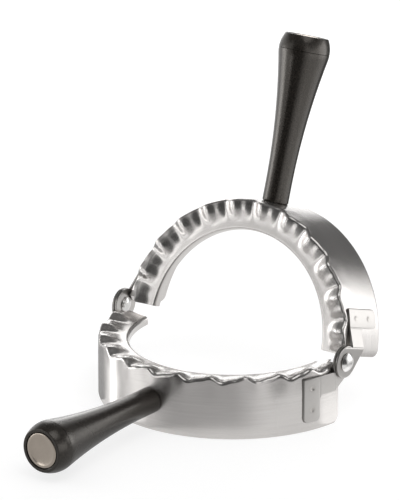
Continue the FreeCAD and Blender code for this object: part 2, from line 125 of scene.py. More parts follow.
def make_piece(name, points, faces, maps, material, smooth_angle=32, marks=None):
    """A closed mesh with outward faces, a pattern map in metres, smooth faces and sharp edges by angle.
    Marks are numbers at its points, by name, that a finish can read."""
    if volume_of(points, faces) < 0:
        faces = faces[:, ::-1]
        maps = maps[:, ::-1]
    corners = 4 - (faces[:, 3] == faces[:, 2]) - (faces[:, 0] == faces[:, 1])
    mesh = bpy.data.meshes.new(name)
    mesh.vertices.add(len(points))
    mesh.vertices.foreach_set("co", points.astype(np.float32).ravel())
    keep = np.ones(faces.shape, bool)
    keep[:, 3] = faces[:, 3] != faces[:, 2]
    keep[:, 0] = faces[:, 0] != faces[:, 1]
    mesh.loops.add(int(corners.sum()))
    mesh.loops.foreach_set("vertex_index", faces[keep].astype(np.int32))
    mesh.polygons.add(len(faces))
    mesh.polygons.foreach_set("loop_start", np.concatenate([[0], np.cumsum(corners)[:-1]]).astype(np.int32))
    mesh.update(calc_edges=True)
    layer = mesh.uv_layers.new(name="pattern")
    layer.uv.foreach_set("vector", maps[keep].astype(np.float32).ravel())
    for mark, values in (marks or {}).items():
        mesh.attributes.new(mark, "FLOAT", "POINT").data.foreach_set("value", values.astype(np.float32))
    work = bmesh.new()
    work.from_mesh(mesh)
    bmesh.ops.remove_doubles(work, verts=work.verts, dist=MERGE)
    work.to_mesh(mesh)
    work.free()
    mesh.shade_smooth()
    mesh.set_sharp_from_angle(angle=math.radians(smooth_angle))
    mesh.materials.append(material)
    piece = bpy.data.objects.new(name, mesh)
    bpy.context.scene.collection.objects.link(piece)
    return piece


def stand_for(piece, node, body):
    """The piece rides on its body and is shown in place of the node, which is hidden."""
    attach(piece, body)
    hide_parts(node)
    print(f"{piece.name}: {len(piece.data.polygons)} faces")


print("nodes to dress", len(frame["nodes"]))

# %% [markdown]
# Finishes come before pieces. A finish is a small tree of nodes, and each helper here adds one or two of
# them: noise at a real scale, a range, a colour between two tones, a bump with a height in metres. Pictures
# of metal and plastic could be wrapped round the pieces instead, but noise has no seams and stays sharp
# close up.

# %% Helpers for finishes
def new_finish(name):
    """A material, its tree of nodes and the shader in it."""
    material = bpy.data.materials.new(name)
    material.use_nodes = True
    tree = material.node_tree
    shader = tree.nodes["Principled BSDF"]
    return material, tree, shader


def link(tree, source, target):
    """An output joined to an input."""
    tree.links.new(source, target)


def noise(tree, coordinates, stretch, detail=2.0, turn=(0, 0, 0)):
    """Noise that repeats so many times per metre along each axis; its lattice can be turned."""
    mapping = tree.nodes.new("ShaderNodeMapping")
    mapping.inputs["Scale"].default_value = stretch
    mapping.inputs["Rotation"].default_value = turn
    link(tree, coordinates, mapping.inputs["Vector"])
    texture = tree.nodes.new("ShaderNodeTexNoise")
    texture.inputs["Scale"].default_value = 1.0
    texture.inputs["Detail"].default_value = detail
    link(tree, mapping.outputs["Vector"], texture.inputs["Vector"])
    return texture.outputs["Fac"]


def spread(tree, value, low, high, start=0.3, end=0.7):
    """Noise from start to end, mapped on to low to high."""
    ranged = tree.nodes.new("ShaderNodeMapRange")
    ranged.inputs["From Min"].default_value = start
    ranged.inputs["From Max"].default_value = end
    ranged.inputs["To Min"].default_value = low
    ranged.inputs["To Max"].default_value = high
    link(tree, value, ranged.inputs["Value"])
    return ranged.outputs["Result"]


def two_tone(tree, value, dark, light):
    """A colour between two tones, by noise."""
    mix = tree.nodes.new("ShaderNodeMix")
    mix.data_type = "RGBA"
    mix.inputs["A"].default_value = (*dark, 1)
    mix.inputs["B"].default_value = (*light, 1)
    link(tree, spread(tree, value, 0, 1), mix.inputs["Factor"])
    return mix.outputs["Result"]


def raise_bump(tree, shader, value, height):
    """Bump at full strength, of a height in metres."""
    bump = tree.nodes.new("ShaderNodeBump")
    bump.inputs["Strength"].default_value = 1.0
    bump.inputs["Distance"].default_value = height
    link(tree, value, bump.inputs["Height"])
    link(tree, bump.outputs["Normal"], shader.inputs["Normal"])


def pattern_map(tree):
    """The place on the piece's own map, in metres."""
    return tree.nodes.new("ShaderNodeUVMap").outputs["UV"]


def object_place(tree):
    """The place in the object's frame, in metres."""
    return tree.nodes.new("ShaderNodeTexCoord").outputs["Object"]


print("finishes so far", len(bpy.data.materials))

# %% [markdown]
# The sheet is satin stainless: fine lines run round it from the polishing wheel, so its highlights stretch
# across the lines into tall soft bands. The lines are noise that is stretched along the pattern map, and
# they turn both the roughness and a very low bump. Clouds of larger noise keep the tone from being quite
# even. Plates, discs, rivets and screws are the same steel, finished more or less finely.

# %% Satin stainless
LINE_SHARE = 0.6
LINE_DEPTH = 0.0003 * MM
QUARTER_TURN = 0.25


def satin_steel(name, dark, light, rough, lines, smudge, anisotropy=None):
    """Metal with polishing lines along the pattern map, or with an even grain where no map is followed."""
    material, tree, shader = new_finish(name)
    place = object_place(tree)
    line = noise(tree, place if anisotropy is None else pattern_map(tree), lines, detail=3.0)
    cloud = noise(tree, place, (smudge, smudge, smudge))
    both = tree.nodes.new("ShaderNodeMix")
    both.inputs["Factor"].default_value = LINE_SHARE
    link(tree, cloud, both.inputs["A"])
    link(tree, line, both.inputs["B"])
    link(tree, two_tone(tree, both.outputs["Result"], dark, light), shader.inputs["Base Color"])
    link(tree, spread(tree, line, *rough), shader.inputs["Roughness"])
    shader.inputs["Metallic"].default_value = 1.0
    if anisotropy is not None:
        shader.inputs["Anisotropic"].default_value = anisotropy
        shader.inputs["Anisotropic Rotation"].default_value = QUARTER_TURN
        tangent = tree.nodes.new("ShaderNodeTangent")
        tangent.direction_type = "UV_MAP"
        tangent.uv_map = "pattern"
        link(tree, tangent.outputs["Tangent"], shader.inputs["Tangent"])
    raise_bump(tree, shader, line, LINE_DEPTH)
    return material


def tone_by(material, mark, tone, amount):
    """The base colour moves towards a tone, by an amount, where the mesh carries the mark."""
    tree = material.node_tree
    base = tree.nodes["Principled BSDF"].inputs["Base Color"]
    read = tree.nodes.new("ShaderNodeAttribute")
    read.attribute_name = mark
    mix = tree.nodes.new("ShaderNodeMix")
    mix.data_type = "RGBA"
    link(tree, spread(tree, read.outputs["Fac"], 0, amount, 0, 1), mix.inputs["Factor"])
    link(tree, base.links[0].from_socket, mix.inputs["A"])
    mix.inputs["B"].default_value = (*tone, 1)
    link(tree, mix.outputs["Result"], base)


sheet_finish = satin_steel(
    "satin_sheet", (0.53, 0.512, 0.497), (0.64, 0.618, 0.603), (0.256, 0.272), (18, 2600, 1), 40, 0.65
)
plate_finish = satin_steel(
    "satin_plate", (0.44, 0.425, 0.41), (0.50, 0.485, 0.47), (0.28, 0.36), (400, 4000, 1), 90, 0.5
)
# Painted shade: the sheared edge is darkened for the shade in its gap to the wall and for its duller metal.
tone_by(plate_finish, "sheared", (0.19, 0.183, 0.176), 0.8)
tone_by(plate_finish, "weld", (0.25, 0.235, 0.215), 0.45)
disc_finish = satin_steel(
    "satin_disc", (0.47, 0.41, 0.35), (0.54, 0.475, 0.41), (0.17, 0.25), (300, 6000, 1), 120, 0.3
)
rivet_finish = satin_steel(
    "polished_rivet", (0.60, 0.59, 0.58), (0.66, 0.65, 0.64), (0.20, 0.26), (3000, 3000, 3000), 200
)
screw_finish = satin_steel(
    "bright_screw", (0.58, 0.58, 0.57), (0.66, 0.66, 0.65), (0.16, 0.26), (3000, 3000, 3000), 200
)
print("metal finishes", len(bpy.data.materials))

# %% [markdown]
# The grips are black plastic from a spark-eroded mould. A fine even grain breaks up the highlight and
# speckles the colour, and a much larger noise varies the gloss, as handling does. The grain's lattice is
# turned off the axes, so that no rows of it show along a grip. The nylon washers and brass inserts are
# hardly seen, so they take the same two recipes in other tones.

# %% Moulded plastic, nylon and brass
GRAIN_TURN = (0.5, 0.3, 0.7)
GRAIN_DETAIL = 4.0
CLOUD_SIZE = 40
PLASTIC_SHINE = 0.7


def moulded(name, dark, light, rough, grain, depth, gloss_tint=(1, 1, 1)):
    """Plastic with an even grain that repeats so many times per metre."""
    material, tree, shader = new_finish(name)
    place = object_place(tree)
    fine = noise(tree, place, (grain, grain, grain), GRAIN_DETAIL, GRAIN_TURN)
    coarse = grain / CLOUD_SIZE
    cloud = noise(tree, place, (coarse, coarse, coarse))
    link(tree, two_tone(tree, fine, dark, light), shader.inputs["Base Color"])
    link(tree, spread(tree, cloud, *rough), shader.inputs["Roughness"])
    shader.inputs["Specular Tint"].default_value = (*gloss_tint, 1)
    shader.inputs["Specular IOR Level"].default_value = PLASTIC_SHINE
    raise_bump(tree, shader, fine, depth)
    return material


GRIP_GLOSS = (1.0, 0.94, 0.87)
grip_finish = moulded(
    "black_grip", (0.003, 0.0024, 0.0018), (0.030, 0.025, 0.0204), (0.22, 0.28), 1300, 0.050 * MM, GRIP_GLOSS
)
nylon_finish = moulded("natural_nylon", (0.72, 0.70, 0.63), (0.80, 0.78, 0.71), (0.42, 0.5), 1500, 0.01 * MM)
brass_finish = satin_steel(
    "machined_brass", (0.62, 0.44, 0.18), (0.72, 0.53, 0.24), (0.22, 0.32), (3000, 3000, 3000), 200
)
print("plastic and brass finishes", len(bpy.data.materials))

# %% [markdown]
# A half ring is one sheet: a wall that stands on its cutting edge, a bend, a rim that waves up and down
# twelve times while it dips inwards, and a lip turned down at its inner edge. The section is drawn once as
# two skins, outside and inside, and swept round the half circle. Each row has a share of the wave: it is
# full at the bend, fades to nothing at the lip, and dies out down the wall, where it leaves shallow flutes.

# %% The section of the sheet
GAUGE = 0.8 * MM
RIM_DROP = 0.4 * MM
RIM_WIDTH = 14.5 * MM
RIM_DIP = 2.0 * MM
RIM_BEND = 0.8 * MM
LIP_BEND = 0.8 * MM
LIP_DEPTH = 4.0 * MM
WAVE_DEPTH = 2.0 * MM
WAVE_SKEW = 0.35
WAVES = 12
FLUTE = 0.14 * MM
SHEET_EDGE = 0.2 * MM
WALL_ROWS = 44
BEND_ROWS = 12
SWAY_ROWS = 26
LIP_ROWS = 8
EDGE_ROWS = 6


def skin(inset):
    """One skin from the foot to the lip: radius, height and the share of the wave, row by row. The share
    eases in over the wall's top third as 3r^2 - 2r^3, is one round the bend and falls along the rim as
    (1 - b)^2 (1 + 2b), which is also how the rim dips from the bend to the lip."""
    bend = RIM_BEND + GAUGE - inset
    turn_in = LIP_BEND + GAUGE - inset
    bend_centre = OUTER - RIM_BEND - GAUGE
    lip_centre = OUTER - RIM_WIDTH + LIP_BEND + GAUGE
    top = -RIM_DROP - inset
    dip = top - RIM_DIP
    lip_end = -RIM_DROP - RIM_DIP - LIP_DEPTH + SHEET_EDGE

    rise = np.linspace(0, 1, WALL_ROWS, endpoint=False)
    ramp = np.clip(rise * 3 - 2, 0, 1)
    wall = np.stack([
        np.full(WALL_ROWS, OUTER - inset),
        BASE + SHEET_EDGE + rise * (top - bend - BASE - SHEET_EDGE),
        ramp ** 2 * (3 - 2 * ramp),
    ])
    turn = np.linspace(0, np.pi / 2, BEND_ROWS, endpoint=False)
    over = np.stack([bend_centre + bend * np.cos(turn), top - bend + bend * np.sin(turn), np.ones(BEND_ROWS)])
    b = np.linspace(0, 1, SWAY_ROWS, endpoint=False)
    share = (1 - b) ** 2 * (1 + 2 * b)
    along = 1.5 * b * (1 - b) ** 2 + 1.5 * b ** 2 * (1 - b) + b ** 3
    sway = np.stack([bend_centre + (lip_centre - bend_centre) * along, dip + (top - dip) * share, share])
    turn = np.linspace(np.pi / 2, np.pi, LIP_ROWS, endpoint=False)
    down = np.stack([
        lip_centre + turn_in * np.cos(turn),
        dip - turn_in + turn_in * np.sin(turn),
        np.zeros(LIP_ROWS),
    ])
    drop = np.linspace(0, 1, LIP_ROWS)
    lip = np.stack([
        np.full(LIP_ROWS, lip_centre - turn_in),
        dip - turn_in + drop * (lip_end - dip + turn_in),
        np.zeros(LIP_ROWS),
    ])
    return np.concatenate([wall, over, sway, down, lip], axis=1)


def rounded_end(first, second, outward):
    """The sheared edge between the two skins: half an ellipse that stands out by the edge radius."""
    turn = np.linspace(0, np.pi, EDGE_ROWS + 2)[1:-1]
    middle = (first + second) / 2
    half = (first - second) / 2
    end = middle[:, None] + half[:, None] * np.cos(turn)
    end[1] += outward * SHEET_EDGE * np.sin(turn)
    return end


outside = skin(0.0)
inside = skin(GAUGE)
lip_edge = rounded_end(outside[:, -1], inside[:, -1], -1)
foot_edge = rounded_end(inside[:, 0], outside[:, 0], -1)
section = np.concatenate([outside, lip_edge, inside[:, ::-1], foot_edge], axis=1)
SKIN_ROWS = outside.shape[1]
SECTION_ROWS = section.shape[1]
partner = (2 * SKIN_ROWS + EDGE_ROWS - 1 - np.arange(SECTION_ROWS)) % SECTION_ROWS
print("section rows", SECTION_ROWS, "section height", np.ptp(section[1]))

# %% [markdown]
# Each half ring stops short of the hinge axis. The stop is a distance from the axis that depends on the
# row: the same all the way up, drawn back in a quarter round at the foot, and hollowed out round the
# rivet's tail.

# %% The two half rings
END_GAP = 2.2 * MM
END_CORNER = 4.0 * MM
TAIL_RELIEF = 4.6 * MM
RELIEF_START = OUTER - 3.4 * MM
COLUMNS_PER_WAVE = 24
END_CHAMFER = 0.12 * MM


def end_distance(radius, height):
    """How far from the hinge axis a row stops."""
    below = np.clip(BASE + END_CORNER - height, 0, END_CORNER)
    corner = END_CORNER - np.sqrt(END_CORNER ** 2 - below ** 2)
    relief = np.sqrt(np.clip(TAIL_RELIEF ** 2 - height ** 2, 0, None))
    relief = np.where(radius > RELIEF_START, relief, 0)
    return np.maximum(END_GAP + corner, relief)


def half_ring(half, material):
    """The section swept round: at each angle a row is lifted by its share of the wave and drawn in a little.
    The wave is a sine and its octave. It is odd about the grip, so two equal rims fold crest into trough."""
    radius, height, share = (item[:, None] for item in section)
    start = np.arcsin(end_distance(radius, height) / radius)
    steps = np.linspace(0, 1, WAVES * COLUMNS_PER_WAVE + 1)[None, :]
    chamfer = END_CHAMFER / OUTER
    angle = start + chamfer + steps * (np.pi - 2 * start - 2 * chamfer)
    angle = np.concatenate([start, angle, np.pi - start], axis=1)
    phase = 2 * WAVES * (angle - np.pi / 2)
    wave = np.sin(phase) + WAVE_SKEW * np.sin(2 * phase)
    radius = radius - FLUTE * share * (1 + wave)
    lifted = height + WAVE_DEPTH / 2 * share * wave
    points = np.stack([radius * np.cos(angle), -radius * np.sin(angle), lifted], -1)
    ends = points[:, [0, -1]]
    middle = (ends + ends[partner]) / 2
    points[:, [0, -1]] = middle + (ends - middle) * (1 - 2 * END_CHAMFER / GAUGE)

    rows, columns = angle.shape
    faces, row, column = grid(rows, columns, wrap_rows=True)
    step = np.linalg.norm(np.diff(section[:2], axis=1, append=section[:2, :1]), axis=0)
    along = np.concatenate([[0], np.cumsum(step)])
    maps = np.stack([angle[row % rows, column] * OUTER, along[row]], -1)
    cap_faces, cap_maps = end_caps(rows, columns, along)
    faces = np.concatenate([faces, cap_faces])
    maps = np.concatenate([maps, cap_maps])
    return make_piece(f"{half}_half_ring", in_place(points.reshape(-1, 3), half), faces, maps, material)


def end_caps(rows, columns, along):
    """Quads that close the two cut ends, from each row of one skin to its partner on the other."""
    row = np.arange(-EDGE_ROWS // 2, SKIN_ROWS + EDGE_ROWS // 2 - 1)
    lower = row % rows
    upper = (row + 1) % rows
    first = np.stack([lower, upper, partner[upper], partner[lower]], -1) * columns
    last = first[:, ::-1] + columns - 1
    maps = np.stack([np.array([0, 0, 1, 1]) * GAUGE + 0 * lower[:, None], along[first // columns]], -1)
    return np.concatenate([first, last]), np.concatenate([maps, maps[:, ::-1]])


for half in HALVES:
    ring = half_ring(half, sheet_finish)
    stand_for(ring, f"{half}_shell", f"{half}_half")

# %% [markdown]
# A grip is turned: a radius for each distance out from the wall, spun about its axis. It leaves the wall as
# a slim neck, flares along one very long arc and rounds off over a shorter arc, which runs on to the end.
# Its root is hollowed to sit on the round wall, and the edge of the root is rounded, which leaves a fine
# dark line where grip and wall meet. A Screw modifier could spin it, but the hollow would still need its
# own step.

# %% Turned pieces
NECK = 6.15 * MM
NECK_LENGTH = 8.0 * MM
BELLY = 12.0 * MM
GRIP_LENGTH = 79.0 * MM
SEAM = 71.8 * MM
END_ROUND = 15.0 * MM
SEAM_EASE = 0.14 * MM
ROOT_ROUND = 0.9 * MM
TURN_STEPS = 96
front_grip_low, front_grip_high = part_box("front_grip")
GRIP_LEVEL = (front_grip_low.z + front_grip_high.z) / 2 - AXIS[2]


def grip_radius(out):
    """The grip's radius at a distance out: neck, long arc, end arc. The long arc leaves the neck level, and
    the two arcs touch on the line between their centres."""
    reach = SEAM - NECK_LENGTH
    flare = BELLY - NECK
    centres = (reach ** 2 + flare ** 2) / (2 * flare)
    long_arc = centres - END_ROUND
    join = SEAM - END_ROUND * reach / centres
    past_neck = np.clip(out - NECK_LENGTH, 0, reach)
    flared = NECK + long_arc - np.sqrt(long_arc ** 2 - past_neck ** 2)
    past_join = np.clip(out - SEAM, -END_ROUND, END_ROUND)
    rounded = BELLY - END_ROUND + np.sqrt(END_ROUND ** 2 - past_join ** 2)
    return np.where(out < join, flared, rounded)


def eased(corners, reach, steps=4):
    """A profile whose corners are replaced by short parabolas that start and end a reach from each corner."""
    corners = np.asarray(corners, float)
    before = corners[:-2] - corners[1:-1]
    after = corners[2:] - corners[1:-1]
    first = corners[1:-1] + before * np.minimum(reach / np.linalg.norm(before, axis=1), 0.45)[:, None]
    last = corners[1:-1] + after * np.minimum(reach / np.linalg.norm(after, axis=1), 0.45)[:, None]
    b = np.linspace(0, 1, steps)[None, :, None]
    curves = first[:, None] * (1 - b) ** 2 + 2 * corners[1:-1, None] * b * (1 - b) + last[:, None] * b ** 2
    return np.concatenate([corners[:1], curves.reshape(-1, 2), corners[-1:]])


def spin(profile, saddle=None, closed=False):
    """A profile of radius and distance out, spun once round: points of (across, out, up), faces and maps.
    A saddle lets rows drop, by its share, as the round wall does across the grip."""
    radius, out = profile[:, :1], profile[:, 1:]
    turn = np.linspace(0, 2 * np.pi, TURN_STEPS, endpoint=False)[None, :]
    across = radius * np.sin(turn)
    out = out + 0 * turn
    if saddle is not None:
        out = out - saddle[:, None] * (OUTER - np.sqrt(OUTER ** 2 - across ** 2))
    points = np.stack([across, out, radius * np.cos(turn)], -1).reshape(-1, 3)
    faces, row, column = grid(len(profile), TURN_STEPS, wrap_rows=closed, wrap_columns=True)
    step = np.linalg.norm(np.diff(profile, axis=0, append=profile[:1]), axis=1)
    along = np.concatenate([[0], np.cumsum(step)])
    maps = np.stack([column * (2 * np.pi * radius.max() / TURN_STEPS), along[row]], -1)
    return points, faces, maps


def on_grip_axis(name, profile, half, material, saddle=None, closed=False):
    """A spun piece on the grip's axis, which points to -Y from the wall."""
    points, faces, maps = spin(profile, saddle, closed)
    points = points * [1, -1, 1] + [0, -OUTER, GRIP_LEVEL]
    return make_piece(name, in_place(points, half), faces, maps, material)


grip_places = np.array([0, SEAM, GRIP_LENGTH])
print("grip radius at wall, seam and end, mm", np.round(grip_radius(grip_places) / MM, 2))

# %% [markdown]
# The end of a grip is a ring of its own with a steel disc let into it. The grip carries the ring on a
# spigot, and the disc sits in the ring's recess with a fine groove round it. The disc is dished, flat at
# its rim and hollow inside, so it mirrors a bright crescent: a painted reflection of the glint card placed
# for it beyond the grip's end. Each is a profile again, so the same turning serves.

# %% The grips and their ends
END_FACE = float(grip_radius(np.array(GRIP_LENGTH)))
END_LAND = 1.5 * MM
DISC_GROOVE = 0.4 * MM
DISC_SEAT = 1.6 * MM
DISC_EDGE = 1.5 * MM
DISC_RIM = 1.2 * MM
DISC_DISH = 0.6 * MM
DISC_EASE = 0.55 * MM
DISH_LEAD = 0.3 * MM
RING_EASE = 0.45 * MM
SPIGOT_STEP = 1.25 * MM
RECESS = END_FACE - END_LAND
DISC = RECESS - DISC_GROOVE
DISC_FLOOR = GRIP_LENGTH - DISC_SEAT


def grip_profile():
    """Root on the wall, neck, flare, an eased edge at the seam, and the spigot that carries the end ring."""
    face_radius = np.linspace(0, NECK - ROOT_ROUND, 5)[:-1]
    face = np.stack([face_radius, 0 * face_radius], -1)
    quarter = np.linspace(0, np.pi / 2, 9)
    edge = np.stack([NECK - ROOT_ROUND * (1 - np.sin(quarter)), ROOT_ROUND * (1 - np.cos(quarter))], -1)
    neck = np.linspace(ROOT_ROUND, NECK_LENGTH, 8)[1:]
    out = np.concatenate([neck, np.linspace(NECK_LENGTH, SEAM - SEAM_EASE, 60)[1:]])
    flank = np.stack([grip_radius(out), out], -1)
    spigot = RECESS - SPIGOT_STEP
    tail = [(BELLY - SEAM_EASE, SEAM), (spigot, SEAM), (spigot, DISC_FLOOR), (0, DISC_FLOOR)]
    profile = np.concatenate([face, edge, flank, tail])
    saddle = np.clip(1 - profile[:, 1] / NECK_LENGTH, 0, 1)
    return profile, saddle


def end_ring_profile():
    """The round end past the seam, its eased outer edge, the land and the recess for the disc."""
    out = np.linspace(SEAM + SEAM_EASE, GRIP_LENGTH, 24)
    flank = np.stack([grip_radius(out), out], -1)
    spigot = RECESS - SPIGOT_STEP
    corner = eased([flank[-2], flank[-1], (RECESS, GRIP_LENGTH), (RECESS, DISC_FLOOR)], RING_EASE)
    floor = [(RECESS, DISC_FLOOR), (spigot, DISC_FLOOR), (spigot, SEAM), (BELLY - SEAM_EASE, SEAM)]
    return np.concatenate([flank[:-1], corner[1:-1], floor])


def end_disc_profile():
    """A plate with an eased edge, a flat rim and a dish that rises with the fourth power of the radius."""
    edge = DISC_FLOOR + DISC_EDGE
    dish = DISC - DISC_RIM
    radius = np.linspace(dish - DISH_LEAD, 0, 32)
    hollow = np.stack([radius, edge - DISC_DISH * (1 - (radius / dish) ** 4)], -1)
    rim = eased([(DISC, DISC_FLOOR), (DISC, edge), (dish, edge), hollow[0]], DISC_EASE, steps=7)
    return np.concatenate([[(0, DISC_FLOOR)], rim[:-1], hollow])


for half in HALVES:
    body = f"{half}_half"
    profile, saddle = grip_profile()
    moulded_grip = on_grip_axis(f"{half}_moulded_grip", profile, half, grip_finish, saddle)
    stand_for(moulded_grip, f"{half}_grip", body)
    ring = on_grip_axis(f"{half}_grip_end", end_ring_profile(), half, grip_finish, closed=True)
    stand_for(ring, f"{half}_end_ring", body)
    disc = on_grip_axis(f"{half}_grip_disc", end_disc_profile(), half, disc_finish)
    stand_for(disc, f"{half}_end_disc", body)

# %% [markdown]
# A hinge plate is blanked from sheet and bent: a strap that is spot-welded to the wall, an arm that leaves
# it in a straight line, and a round ear for the rivet. Seen from the side it is one outline with one hole.
# So it is drawn flat, as the drawing of the blank would be, and bent afterwards. Cutting it out of a bent
# block with a Boolean would leave ragged faces.

# %% The outline of a hinge plate
PLATE = 1.1 * MM
STRAP_NEAR = -15.3 * MM
STRAP_FAR = -23.8 * MM
STRAP_LOW = BASE + 4.5 * MM
STRAP_CORNER = 2.0 * MM
FAR_CORNER = 0.5 * MM
ARM_LOW = -12.5 * MM
PLATE_TOP = -3.2 * MM
EAR_BEND = -6.7 * MM
EAR = 7.5 * MM
EAR_STAND = {"front": OUTER + 0.3 * MM, "rear": OUTER + 1.85 * MM}
RIVET_HOLE = 2.5 * MM
PLATE_EDGE = 0.2 * MM
LATTICE = 0.34 * MM
BENDS = (STRAP_NEAR, EAR_BEND)
CREASE_HALF = 0.22 * MM
CREASE_DEPTH = 0.12 * MM


def arc(centre, radius, first, last, steps):
    """Points at equal angles along an arc, from one angle in degrees to another."""
    turn = np.radians(np.linspace(first, last, steps))
    return np.asarray(centre) + radius * np.stack([np.cos(turn), np.sin(turn)], -1)


def even_loop(corners, spacing):
    """A closed line through the corners, cut into equal steps of its length."""
    closed = np.concatenate([corners, corners[:1]])
    length = np.concatenate([[0], np.cumsum(np.linalg.norm(np.diff(closed, axis=0), axis=1))])
    mark = np.linspace(0, length[-1], int(length[-1] / spacing), endpoint=False)
    return np.stack([np.interp(mark, length, closed[:, axis]) for axis in (0, 1)], -1)


def plate_loops():
    """The outline and the rivet hole, as closed lines of (back, height); the arm's foot touches the ear."""
    squared = EAR_BEND ** 2 + ARM_LOW ** 2
    run = math.sqrt(squared - EAR ** 2)
    touch = math.degrees(math.atan2(EAR * ARM_LOW + run * EAR_BEND, EAR * EAR_BEND - run * ARM_LOW))
    leave = 180 + math.degrees(math.asin(-PLATE_TOP / EAR))
    corner = STRAP_CORNER
    low = STRAP_LOW + corner
    outline = np.concatenate([
        arc((STRAP_FAR + FAR_CORNER, PLATE_TOP - FAR_CORNER), FAR_CORNER, 90, 180, 5),
        arc((STRAP_FAR + corner, low), corner, 180, 270, 12),
        arc((STRAP_NEAR - corner, low), corner, 270, 360, 12),
        arc((STRAP_NEAR + corner, ARM_LOW - corner), corner, 180, 90, 12),
        [(EAR_BEND, ARM_LOW)],
        arc((0, 0), EAR, touch, leave, 60),
    ])
    hole = arc((0, 0), RIVET_HOLE, 0, 360, 40)[:-1]
    return even_loop(outline, LATTICE), even_loop(hole, LATTICE)


def moved_in(loop, amount):
    """A closed line moved to its left by an amount, along the normal between its neighbours."""
    along = np.roll(loop, -1, axis=0) - np.roll(loop, 1, axis=0)
    along /= np.linalg.norm(along, axis=1)[:, None]
    return loop + amount * np.stack([-along[:, 1], along[:, 0]], -1)


outline, hole = plate_loops()
hole = hole[::-1]
print("outline points", len(outline), "hole points", len(hole))

# %% [markdown]
# The flat outline is filled with triangles over a fine lattice, so that it can bend smoothly and take
# dents. Delaunay triangulation keeps to the outline and leaves the hole open. Along each bend the lattice
# has closer columns, because the crease there is narrower than the lattice.

# %% The flat pattern of a hinge plate
def flat_pattern(loops):
    """Triangles over the outline and a lattice, with the hole left out."""
    lands = [moved_in(loop, PLATE_EDGE) for loop in loops]
    low, high = lands[0].min(axis=0), lands[0].max(axis=0)
    back = np.arange(low[0], high[0], LATTICE)
    to_bend = np.abs(back[:, None] - np.array(BENDS)).min(axis=1)
    creases = np.concatenate([bend + np.arange(-4, 5) * CREASE_HALF / 2 for bend in BENDS])
    back = np.concatenate([back[to_bend > 2.5 * CREASE_HALF], creases])
    height = np.arange(low[1], high[1], LATTICE)
    lattice = np.stack(np.meshgrid(back, height, indexing="ij"), -1).reshape(-1, 2)
    border = np.concatenate(lands)
    gap = np.linalg.norm(lattice[:, None] - border[None], axis=2).min(axis=1)
    lattice = lattice[gap > 0.6 * LATTICE]
    sites = np.concatenate([border, lattice]) / MM
    count = len(lands[0])
    rest = len(border) - count
    first = np.arange(len(border))
    after = np.concatenate([np.roll(np.arange(count), -1), count + np.roll(np.arange(rest), -1)])
    edges = np.stack([first, after], -1).tolist()
    flat = delaunay_2d_cdt([Vector(site) for site in sites.tolist()], edges, [], 4, 1e-6)
    return np.array([tuple(site) for site in flat[0]]) * MM, np.array(flat[2])


pattern_points, pattern_faces = flat_pattern((outline, hole))
print("flat pattern", len(pattern_points), "points", len(pattern_faces), "triangles")

# %% [markdown]
# The pattern is laid on the bent sheet, where the distance from the middle of the press depends only on how
# far back a point is. The welds show as two shallow round dents, where the electrodes pressed: a slice of a
# ball taken out of the outer skin. The bending tool leaves a fine crease on each bend, a dip that falls off
# as a bell curve.

# %% The bent sheet
WELD_BALL = 3.0 * MM
WELD_DEPTH = 0.25 * MM
WELD_BACK = (STRAP_NEAR + STRAP_FAR) / 2
WELD_HEIGHTS = (STRAP_LOW + 5.9 * MM, PLATE_TOP - 5.0 * MM)
BEND_SPREAD = 0.5 * MM
BEND_STEP = 0.05 * MM
BEND_SPARE = 2 * MM


def bent_sheet(back, ear, offset):
    """The distance from the middle: on the wall's circle, then a straight arm, then flat, with soft bends."""
    fine = np.arange(STRAP_FAR - BEND_SPARE, EAR + BEND_SPARE, BEND_STEP)
    on_wall = np.sqrt((OUTER + offset) ** 2 - fine ** 2)
    start = math.sqrt((OUTER + offset) ** 2 - STRAP_NEAR ** 2)
    arm = np.interp(fine, [STRAP_NEAR, EAR_BEND], [start, ear + offset])
    sheet = np.where(fine < STRAP_NEAR, on_wall, arm)
    window = int(BEND_SPREAD / BEND_STEP) * 2 + 1
    padded = np.pad(sheet, window // 2, mode="edge")
    return np.interp(back, fine, np.convolve(padded, np.ones(window) / window, mode="valid"))


def to_weld(back, height):
    """The distance to the nearer weld, measured along the strap."""
    lean = OUTER / math.sqrt(OUTER ** 2 - WELD_BACK ** 2)
    return np.min([np.hypot((back - WELD_BACK) * lean, height - weld) for weld in WELD_HEIGHTS], axis=0)


def laid(flat, depth, half, side):
    """Flat points on the bent sheet, at a share of its thickness from the outer skin."""
    back, height = flat[:, 0], flat[:, 1]
    outer = bent_sheet(back, EAR_STAND[half], PLATE)
    inner = bent_sheet(back, EAR_STAND[half], 0)
    near = np.clip(to_weld(back, height), 0, WELD_BALL)
    dent = np.clip(np.sqrt(WELD_BALL ** 2 - near ** 2) - WELD_BALL + WELD_DEPTH, 0, None)
    crease = sum(CREASE_DEPTH * np.exp(-((back - bend) / CREASE_HALF) ** 2) for bend in BENDS)
    across = outer + (inner - outer) * depth - (dent + crease) * (depth == 0)
    return np.stack([side * across, back, height], -1)


ear_stands = [round(float(bent_sheet(0.0, EAR_STAND[half], PLATE)) / MM, 2) for half in HALVES]
print("ears stand from the middle, mm", ear_stands)

# %% [markdown]
# A plate is two skins and two edge bands, one round the outline and one round the hole, joined where their
# points meet. How near a point is to a weld, and whether it is on the rough sheared edge, is kept on the
# mesh as marks. The finish reads them: the heat of a weld leaves a faint straw tint, and the sheared edge
# is painted dark, partly for its duller punched metal and partly as painted shade on the thin edge and in
# the gap between plate and wall.

# %% The four hinge plates
WELD_HALO = 1.3 * MM


